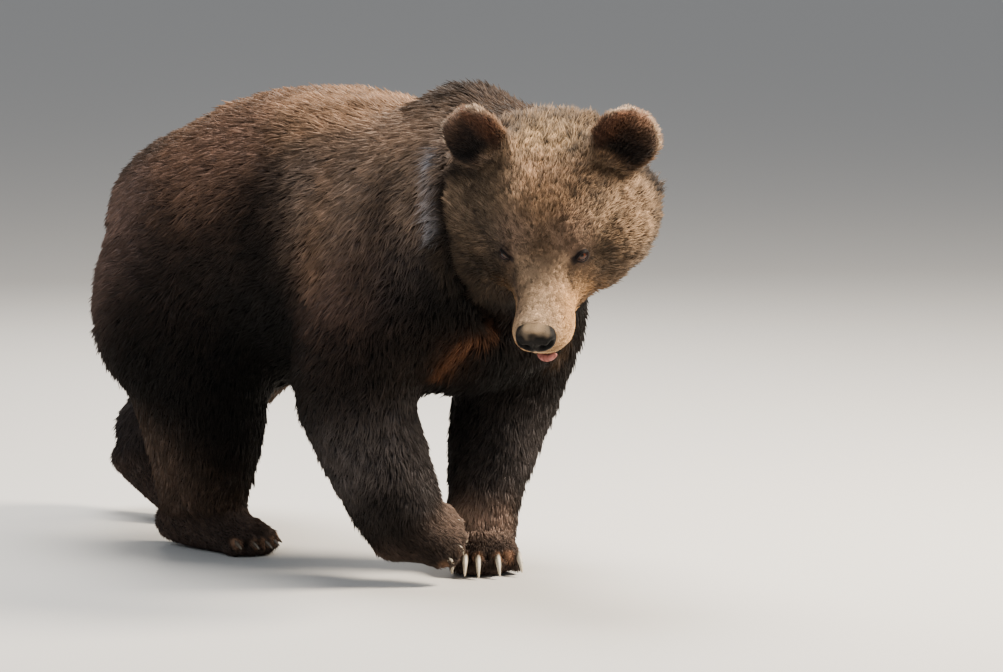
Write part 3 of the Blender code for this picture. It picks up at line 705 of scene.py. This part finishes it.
def roughen(shader, add, link, pattern, scale, detail, strength, depth):
    """Fine bumps of this pattern. Returns the socket that holds their height."""
    place, grain, bump = add("ShaderNodeTexCoord"), add(pattern), add("ShaderNodeBump")
    grain.inputs["Scale"].default_value = scale
    grain.inputs["Detail"].default_value = detail
    bump.inputs["Strength"].default_value = strength
    bump.inputs["Distance"].default_value = depth
    link(place.outputs["Object"], grain.inputs["Vector"])
    link(grain.outputs[0], bump.inputs["Height"])
    link(bump.outputs["Normal"], shader.inputs["Normal"])
    return grain.outputs[0]


def coloured(mesh, tones, finish):
    """Gives a mesh a colour at each point, smooth faces and its material."""
    tones = np.column_stack((tones, np.ones(len(tones)))).astype(np.float32)
    marking = mesh.attributes.new("marking", "FLOAT_COLOR", "POINT")
    marking.data.foreach_set("color", tones.ravel())
    mesh.shade_smooth()
    mesh.materials.append(finish)


hide_finish, *wiring = marked_finish("hide", 0.75, 0.12)
roughen(*wiring, "ShaderNodeTexNoise", 420, 3, 0.5, 0.0015)
coloured(hide_mesh, skin_tone, hide_finish)
hide = new_piece("hide", hide_mesh)
# the unwrap of the hide's own shape, which every lock of the coat also takes its place from
hide_mesh.uv_layers.new(name="OFBake")
bpy.ops.object.select_all(action="DESELECT")
bpy.context.view_layer.objects.active = hide
hide.select_set(True)
bpy.ops.object.mode_set(mode="EDIT")
bpy.ops.mesh.select_all(action="SELECT")
bpy.ops.uv.smart_project(angle_limit=math.radians(66), island_margin=0.001)
bpy.ops.object.mode_set(mode="OBJECT")
hide.select_set(False)
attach(hide, "root")
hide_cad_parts(*FLESH)

# ---------------- eyes
# The two eyes: wet balls with a reddish-brown iris round a black pupil. They sit deep under the
# brows, and look up from the lowered head.
GAZE = unit(np.array((0.72, -0.68, 0.12)))
EYE_CLEAR = 0.0004  # between the eyeball and the box it has in the frame
BULGE, BULGE_WIDE = 0.05, 0.55  # the clear swelling over the iris
WIDEST_RING = 1.2
# colours of pupil, iris, its dark edge and the eyeball, by the angle from the pupil's middle
IRIS_RINGS = {
    0: (2, 2, 3), 0.235: (3, 3, 4), 0.265: (76, 43, 26), 0.4: (70, 36, 22),
    0.56: (46, 23, 16), 0.64: (16, 10, 9), 0.8: (30, 21, 18), WIDEST_RING: (44, 32, 28),
}

eye_finish, shader, add, link = new_finish("eye", 0.06, 0.25)
shader.inputs["Coat Weight"].default_value = 0.12
shader.inputs["Coat Roughness"].default_value = 0.02
ring, iris = add("ShaderNodeAttribute"), add("ShaderNodeValToRGB")
ring.attribute_name = "from_pupil"
ramp = iris.color_ramp.elements
ramp.remove(ramp[1])
for angle, card in IRIS_RINGS.items():
    stop = ramp.new(angle / WIDEST_RING) if angle else ramp[0]
    stop.color = (*tone(*card), 1)
link(ring.outputs["Fac"], iris.inputs["Fac"])
link(iris.outputs["Color"], shader.inputs["Base Color"])

for side, centre in eye_at.items():
    facing, *_ = eye_axes(side)
    gaze = unit(GAZE + 0.35 * facing)
    build = bmesh.new()
    bmesh.ops.create_uvsphere(build, u_segments=56, v_segments=56, radius=eye_size - EYE_CLEAR)
    turn = Vector(gaze).to_track_quat("Z", "Y").to_matrix()
    off_gaze = []
    for vert in build.verts:
        angle = math.acos(max(-1, min(1, vert.co.normalized().z)))
        vert.co *= 1 + BULGE * bell(angle, BULGE_WIDE)
        vert.co = turn @ vert.co + Vector(centre)
        off_gaze.append(angle / WIDEST_RING)
    mesh = bpy.data.meshes.new(f"eyeball_{side}")
    build.to_mesh(mesh)
    build.free()
    mesh.attributes.new("from_pupil", "FLOAT", "POINT").data.foreach_set("value", off_gaze)
    mesh.shade_smooth()
    mesh.materials.append(eye_finish)
    eyeball = new_piece(f"eyeball_{side}", mesh)
    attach(eyeball, "root")
    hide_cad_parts(f"eye_{side}")

# ---------------- lid rims
# The bare dark edges of the lids round each eye, thickest over it, with a wet pink line inside
# the lower one. They are part of the skin, and no hair grows on them.
RIM_STEPS, RIM_SIDES = 72, 10
RIM_DARK, RIM_WET = tone(20, 15, 14), tone(176, 138, 126)

skin_finish, *wiring = marked_finish("bare skin", 0.55, 0.11)
roughen(*wiring, "ShaderNodeTexVoronoi", 620, 0, 0.6, 0.0012)


def made_piece(name, points, faces, tones, finish=skin_finish):
    """A smooth piece from points and faces, with a colour for each point."""
    mesh = bpy.data.meshes.new(name)
    mesh.from_pydata(points.tolist(), [], faces)
    coloured(mesh, tones, finish)
    return new_piece(name, mesh)


def ring_faces(steps, sides, closed=True):
    """Four-sided faces between rings of points, round a tube that may close on itself."""
    i, j = np.meshgrid(np.arange(steps - (not closed)), np.arange(sides), indexing="ij")
    below, above, beside = i * sides, (i + 1) % steps * sides, (j + 1) % sides
    faces = np.stack((below + j, above + j, above + beside, below + beside), axis=-1)
    return faces.reshape(-1, 4).tolist()


faces = [face[::-1] for face in ring_faces(RIM_STEPS, RIM_SIDES)]
for side, centre in eye_at.items():
    facing, long_way, high_way = eye_axes(side)
    turn = np.arange(RIM_STEPS) / RIM_STEPS * 2 * math.pi
    across, lift = OPENING[0] * np.cos(turn), np.sin(turn)
    high = np.where(lift > 0, *lid_height(across, side))
    front = np.sqrt(np.maximum(0.05, 1 - across**2 - high**2))
    ways = unit(np.column_stack((front, across, high)) @ np.array((facing, long_way, high_way)))
    line = centre + ways * (eye_size + 0.0007)
    thick = 0.0013 + 0.0014 * np.clip(lift, 0, 1) + 0.0003 * np.abs(np.cos(turn))
    along = unit(np.roll(line, -1, axis=0) - np.roll(line, 1, axis=0))
    aside = np.cross(along, ways)
    points, tones = [], []
    for j in range(RIM_SIDES):
        angle = j / RIM_SIDES * 2 * math.pi
        way = ways * math.cos(angle) * 0.8 + aside * math.sin(angle)
        points.append(line + way * thick[:, None])
        inner = (way * unit(line.mean(0) - line)).sum(1)
        wet = np.clip(inner * 1.6 - 0.35, 0, 1) * rise(-lift, 0.15, 0.6)
        wet *= 0.35 + 0.65 * rise(-across, -0.3, 0.4)
        tones.append(RIM_DARK + (RIM_WET - RIM_DARK) * wet[:, None])
    points, tones = (np.stack(rings, axis=1).reshape(-1, 3) for rings in (points, tones))
    rim = made_piece(f"lid_rim_{side}", points, faces, tones)
    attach(rim, "root")

# ---------------- nose
# The nose pad: bare pebbled skin, wet and black in front and dry grey on top, the top and its tan edge
# lightened further with a painted reflection of the light above. A groove runs down its middle and two
# nostrils open forwards and run out to the sides like commas; nostrils and groove carry painted shade.
NOSE_AT, NOSE_SIZE = np.array((0.245, 0.002, -0.039)), np.array((0.0275, 0.0415, 0.032))
NOSE_ROUND, NOSE_TALL = 144, 108
NOSE_WET, NOSE_DRY_AND_SHEEN, NOSE_EDGE_AND_SHEEN = tone(12, 10, 9), tone(96, 82, 66), tone(150, 124, 94)
turn = np.arange(NOSE_ROUND) / NOSE_ROUND * 2 * math.pi
fall = (np.arange(1, NOSE_TALL) / NOSE_TALL) * math.pi
fall, turn = np.meshgrid(fall, turn, indexing="ij")
ball = np.stack((np.cos(fall), np.sin(fall) * np.cos(turn), np.sin(fall) * np.sin(turn)), axis=-1)
ball = np.vstack(((1, 0, 0), ball.reshape(-1, 3), (-1, 0, 0)))
swell = np.sign(ball) * np.abs(ball) ** (0.66, 0.86, 0.74)
pad = swell * NOSE_SIZE
low_share = rise(-swell[:, 2], 0, 1)
pad[:, 1] *= 1 - 0.26 * low_share
pad[:, 0] -= 0.006 * rise(-swell[:, 2], 0.2, 1)
side_way = np.abs(pad[:, 1])


def dent(at, size):
    """How much of a hollow is at each point, for a place to the side and up, on both sides."""
    return np.exp(-(((side_way - at[0]) / size[0]) ** 2) - ((pad[:, 2] - at[1]) / size[1]) ** 2)


in_front = rise(ball[:, 0], 0, 0.35)
nostril = dent((0.0165, -0.004), (0.0085, 0.007)) * in_front
comma = dent((0.0285, -0.001), (0.0075, 0.0036)) + dent((0.035, 0.005), (0.0048, 0.0048))
comma = np.clip(comma, 0, 1) * rise(ball[:, 0], -0.1, 0.2)
pad[:, 0] -= 0.0135 * nostril + 0.007 * comma
pad[:, 1] -= np.sign(pad[:, 1]) * 0.0035 * comma
pad[:, 0] += 0.0022 * dent((0.026, 0.0075), (0.01, 0.0045)) * in_front
groove = bell(pad[:, 1], 0.002) * rise(ball[:, 0], 0.2, 0.6) * rise(-pad[:, 2], -0.012, 0)
pad[:, 0] -= 0.003 * groove
pad[:, 2] += 0.0012 * drift(pad, 0.03, 21) * rise(ball[:, 2], 0.2, 0.6)
# the grey top is dry skin with a painted reflection of the light above
dry_and_sheen = rise(ball[:, 2] + 0.14 * drift(pad, 0.02, 22), 0.45, 0.95)
nose_tones = NOSE_WET + (NOSE_DRY_AND_SHEEN - NOSE_WET) * dry_and_sheen[:, None]
nose_tones += (NOSE_EDGE_AND_SHEEN - nose_tones) * rise(ball[:, 2], 0.8, 0.98)[:, None] * 0.7
# painted shade in the nostrils and the middle groove
nose_tones *= 1 - np.clip(nostril * 1.4 + comma * 1.3 + groove * 0.5, 0, 0.93)[:, None]
last = len(ball) - 1
round_it = np.arange(NOSE_ROUND)
beside = (round_it + 1) % NOSE_ROUND
faces = [[a + 1 for a in face] for face in ring_faces(NOSE_TALL - 1, NOSE_ROUND, closed=False)]
faces += [(0, 1 + a, 1 + b) for a, b in zip(round_it, beside)]
faces += [(last, last - NOSE_ROUND + b, last - NOSE_ROUND + a) for a, b in zip(round_it, beside)]
nose = made_piece("nose_pad", from_head(NOSE_AT + pad), faces, nose_tones)
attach(nose, "root")
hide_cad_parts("nose")

# ---------------- lower lip
# The pink edge of the lower lip: bare wet skin, which shows under the nose where the mouth hangs
# a little open. It is a flattened ball, bent round the front of the jaw.
LIP_AT, LIP_SIZE = np.array((0.2375, 0.014, -0.106)), np.array((0.011, 0.0205, 0.008))
LIP_BENT = 14  # how fast the lip runs back to both sides
LIP_PALE, LIP_DARK = tone(166, 106, 99), tone(122, 74, 69)
lip_points = ball * LIP_SIZE
lip_points[:, 0] -= LIP_BENT * lip_points[:, 1] ** 2
lip_points[:, 2] -= 0.0022 * bell(lip_points[:, 1], 0.003) * rise(ball[:, 2], 0, 0.5)
darker = rise(drift(lip_points, 0.012, 31), -0.6, 0.8)[:, None]
lip_tones = LIP_PALE + (LIP_DARK - LIP_PALE) * darker
lip = made_piece("lower_lip", from_head(LIP_AT + lip_points), faces, lip_tones)
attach(lip, "root")

# ---------------- claws
# Five claws of worn horn on each foot: long and ivory on the forefeet, short and dark on the hind
# ones, each growing from its toe and curving down to a blunt point.
CLAW_TONES = {
    "fore": ((90, 72, 56), (226, 216, 196), (205, 190, 162)),
    "hind": ((44, 35, 30), (92, 78, 64), (128, 112, 92)),
}  # root, middle, tip
claw_finish, shader, add, link = marked_finish("claw", 0.38, 0.5)
colour = shader.inputs["Base Color"].links[0].from_socket
growth = roughen(shader, add, link, "ShaderNodeTexNoise", 260, 4, 0.25, 0.0006)
worn = add("ShaderNodeMix")
worn.data_type, worn.blend_type = "RGBA", "MULTIPLY"
worn.inputs["Factor"].default_value = 0.45
link(colour, worn.inputs["A"])
link(growth, worn.inputs["B"])
link(worn.outputs["Result"], shader.inputs["Base Color"])

for foot, names in CLAWS_OF.items():
    end = names[0].split("_")[1]
    build = bmesh.new()
    along_claw = []
    for name in names:
        build.from_mesh(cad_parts[name].data)
        from_foot = distance(points_of(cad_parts[name].data), middle_of(foot))
        along_claw += ((from_foot - from_foot.min()) / np.ptp(from_foot)).tolist()
    share_layer = build.verts.layers.float.new("along")
    for vert, share in zip(build.verts, along_claw):
        vert[share_layer] = share
    bmesh.ops.remove_doubles(build, verts=build.verts, dist=1e-6)
    mesh = bpy.data.meshes.new("claws")
    build.to_mesh(mesh)
    build.free()
    rough = new_piece("rough claws", mesh)
    rounding = rough.modifiers.new("rounding", "SUBSURF")
    rounding.levels = rounding.render_levels = 2
    mesh = evaluated_mesh(rough)
    along = rows(mesh.attributes["along"].data, "value", 1)[:, 0]
    mesh.attributes.remove(mesh.attributes["along"])
    root, body, tip = (tone(*card) for card in CLAW_TONES[end])
    tones = root + (body - root) * rise(along, 0.15, 0.5)[:, None]
    tones += (tip - tones) * rise(along, 0.6, 1)[:, None]
    coloured(mesh, tones, claw_finish)
    mesh.name = names[0].replace("claw", "claws")[:-2]
    claws = new_piece(mesh.name, mesh)
    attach(claws, "root")
    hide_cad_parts(*names)

# ---------------- coat
# The bear's coat: fine locks of hair rooted in the hide and lying along the body, short on the
# muzzle and feet, long on the trunk, each dark at its root and lighter at its tip.
COAT_PIECES, PIECE_LOCKS = 8, 46000
LOCKS = COAT_PIECES * PIECE_LOCKS
ROOT_DEPTH = 0.0025
WIDEST = 0.34  # how far along a lock it is widest
LEADER_LOCKS = 16
OFF_THE_GROUND = 0.0004
PATCH = 0.0015  # half the size of a lock's patch on the unwrap
luck = np.random.default_rng(7)

hide_mesh.calc_loop_triangles()
corners = rows(hide_mesh.loop_triangles, "vertices", 3, np.int32)
corner_loops = rows(hide_mesh.loop_triangles, "loops", 3, np.int32)
unwrap = rows(hide_mesh.uv_layers["OFBake"].data, "uv", 2)
skin, up = points_of(hide_mesh), normals_of(hide_mesh)
a, b, c = skin[corners].swapaxes(0, 1)
areas = np.linalg.norm(np.cross(b - a, c - a), axis=1) / 2
# locks are packed closest on the head, and there are none on bare skin
closeness = np.clip((0.058 / np.maximum(fields[:, 3], 0.008)) ** 0.75, 1, 3)
closeness *= 1 + 2.4 * np.maximum(on_face, ear_share)[:, 0]
on_nose = 1 - rise(distance((in_head(skin) - NOSE_AT) / NOSE_SIZE, 0), 0.95, 1.1)
sole = 1 - rise(skin[:, 2], 0.002, 0.008)
closeness *= (1 - np.clip(1.5 * bare[:, 0] + on_nose + sole, 0, 1)) + 1e-6
wanted = areas * closeness[corners].mean(1)
steps = np.cumsum(wanted) / wanted.sum()
picks = np.searchsorted(steps, (np.arange(LOCKS) + luck.random(LOCKS)) / LOCKS)
picks = np.clip(picks, 0, len(corners) - 1)
luck.shuffle(picks)
u, v = luck.random(LOCKS), luck.random(LOCKS)
u, v = np.where(u + v > 1, 1 - u, u), np.where(u + v > 1, 1 - v, v)
shares = np.column_stack((1 - u - v, u, v))


def at_roots(values, places=corners):
    """These values at each lock's root, between the three corners of its triangle."""
    return (values[places[picks]] * shares[:, :, None]).sum(1)


roots, ups = at_roots(skin), unit(at_roots(up))
grown, lock_marks = at_roots(fields), at_roots(marks)
on_face_there = at_roots(on_face)[:, 0]
lies = grown[:, :3]
lies = unit(lies - ups * (lies * ups).sum(1)[:, None])
across = np.cross(ups, lies)
sway = 0.2 * drift(roots, 0.09, 11) + 0.14 * drift(roots, 0.025, 12)
sway += luck.normal(size=LOCKS) * (0.17 + 0.05 * on_face_there)
lies = unit(lies * np.cos(sway)[:, None] + across * np.sin(sway)[:, None])
across = np.cross(ups, lies)
lengths = grown[:, 3] * (1 + 0.14 * drift(roots, 0.05, 13)) * luck.uniform(0.65, 1.2, LOCKS)
stands = grown[:, 4] * luck.uniform(0.55, 1.15, LOCKS) * (1 + 0.15 * drift(roots, 0.03, 14))
widths = np.clip(0.0009 + 0.02 * lengths, 0.001, 0.0018) * luck.uniform(0.7, 1.3, LOCKS)
middles = roots + lies * (WIDEST * lengths)[:, None]
middles += ups * (0.55 * stands * lengths + 0.3 * widths)[:, None]
reach = np.sqrt(np.maximum(0.3, 1 - stands**2))
tips = roots + lies * (0.97 * reach * lengths)[:, None] + ups * (stands * lengths)[:, None]

# neighbours' tips draw together into small locks
leaders = np.arange(0, LOCKS, LEADER_LOCKS)  # one lock in so many leads the others
tree = KDTree(len(leaders))
for number, leader in enumerate(leaders):
    tree.insert(tips[leader], number)
tree.balance()
leader_of = np.array([leaders[tree.find(Vector(tip))[1]] for tip in tips.tolist()])
draw = np.clip(0.1 + 6 * lengths, 0, 0.38)[:, None] * luck.uniform(0.4, 1.2, (LOCKS, 1))
pull = tips[leader_of] - tips
pull -= ups * (pull * ups).sum(1)[:, None] * 0.6
tips += pull * draw
middles += pull * draw * 0.35

lock_shade = 1 + luck.normal(0, 0.19, LOCKS) * (0.4 + 0.6 * rise(grown[:, 3], 0.008, 0.02))
lock_shade *= 1 + (0.15 + 0.13 * on_face_there) * luck.normal(size=LOCKS)[leader_of]
lock_shade = np.clip(lock_shade, 0.4, 1.9)[:, None]
tip_tone, root_tone = lock_marks[:, :3] * lock_shade, lock_marks[:, 3:] * lock_shade
belly_tone = 0.4 * tip_tone + 0.6 * root_tone
half = across * widths[:, None] / 2
lock_points = np.stack((roots - ups * ROOT_DEPTH, middles - half, middles + half, tips), axis=1)
lock_points[:, 1:, 2] = np.maximum(lock_points[:, 1:, 2], OFF_THE_GROUND)
lock_tones = np.stack((root_tone, belly_tone, belly_tone, tip_tone), axis=1)
LOCK_FACES = np.array([(0, 1, 2), (3, 2, 1), (0, 3, 1), (0, 2, 3)])
LOCK_PATCH = PATCH * np.array([(0, -1), (-1, 0), (1, 0), (0, 1)])
root_unwrap = at_roots(unwrap, corner_loops)

coat_finish = marked_finish("coat", 0.62, 0.15)[0]
faces = (LOCK_FACES + 4 * np.arange(PIECE_LOCKS)[:, None, None]).reshape(-1, 3)
for number, first in enumerate(range(0, LOCKS, PIECE_LOCKS), 1):
    part = slice(first, first + PIECE_LOCKS)
    points, tones = lock_points[part].reshape(-1, 3), lock_tones[part].reshape(-1, 3)
    coat = made_piece(f"coat_{number}", points, faces.tolist(), tones, coat_finish)
    patches = np.clip(root_unwrap[part, None] + LOCK_PATCH, 0, 1).reshape(-1, 2)[faces.ravel()]
    coat.data.uv_layers.new(name="OFBake").data.foreach_set("uv", patches.ravel())
    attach(coat, "root")

# ---------------- studio
# A plain pale floor, soft lamps, and the camera in front of the bear's right side, a little above
# the level of its shoulder.
FAR, UNDER = 60, -0.0005
bpy.ops.mesh.primitive_plane_add(size=2 * FAR, location=(0, 0, UNDER))
floor = bpy.context.object
floor.name = "floor"
floor_finish, shader, *_ = new_finish("floor", 0.9, 0.5)
shader.inputs["Base Color"].default_value = (0.62, 0.6, 0.57, 1)
floor.data.materials.append(floor_finish)

room = bpy.data.worlds.new("room")
bpy.context.scene.world = room
room.use_nodes = True
glow = room.node_tree.nodes["Background"].inputs
glow["Color"].default_value = (0.8, 0.84, 0.9, 1)
glow["Strength"].default_value = 0.42

LAMPS = {
    "key": ((3, 2.6, 3.6), 1.7, 840, (1, 0.88, 0.72)),
    "over": ((-0.4, 0.3, 4.2), 2.4, 280, (1, 0.96, 0.9)),
    "fill": ((1.2, -4.6, 2.6), 2.4, 70, (0.8, 0.9, 1)),
    "back": ((-3.2, 2.6, 3), 2.2, 130, (1, 0.95, 0.88)),
}
for name, (place, size, power, colour) in LAMPS.items():
    lamp = bpy.data.lights.new(name, "AREA")
    lamp.shape, lamp.size, lamp.energy, lamp.color = "DISK", size, power, colour
    light = new_piece(name, lamp)
    light.location = place
    light.rotation_euler = (Vector((0.2, 0, 0.6)) - Vector(place)).to_track_quat("-Z", "Y").to_euler()

CAMERA_TURN, CAMERA_RISE, CAMERA_FAR = math.radians(45), math.radians(6.5), 12
AIM = Vector((0.1188, 0.0061, 0.515))
SEEN_WIDTH = 2.143162  # how wide the view is where the bear stands
camera = bpy.data.cameras.new("camera")
camera.lens = camera.sensor_width * CAMERA_FAR / SEEN_WIDTH
camera.shift_x, camera.shift_y = 0.101196, -0.009472
camera.clip_end = FAR
viewpoint = new_piece("camera", camera)
level = math.cos(CAMERA_RISE)
back = Vector((math.sin(CAMERA_TURN) * level, -math.cos(CAMERA_TURN) * level, math.sin(CAMERA_RISE)))
viewpoint.location = AIM + back * CAMERA_FAR
viewpoint.rotation_euler = (-back).to_track_quat("-Z", "Y").to_euler()
bpy.context.scene.camera = viewpoint
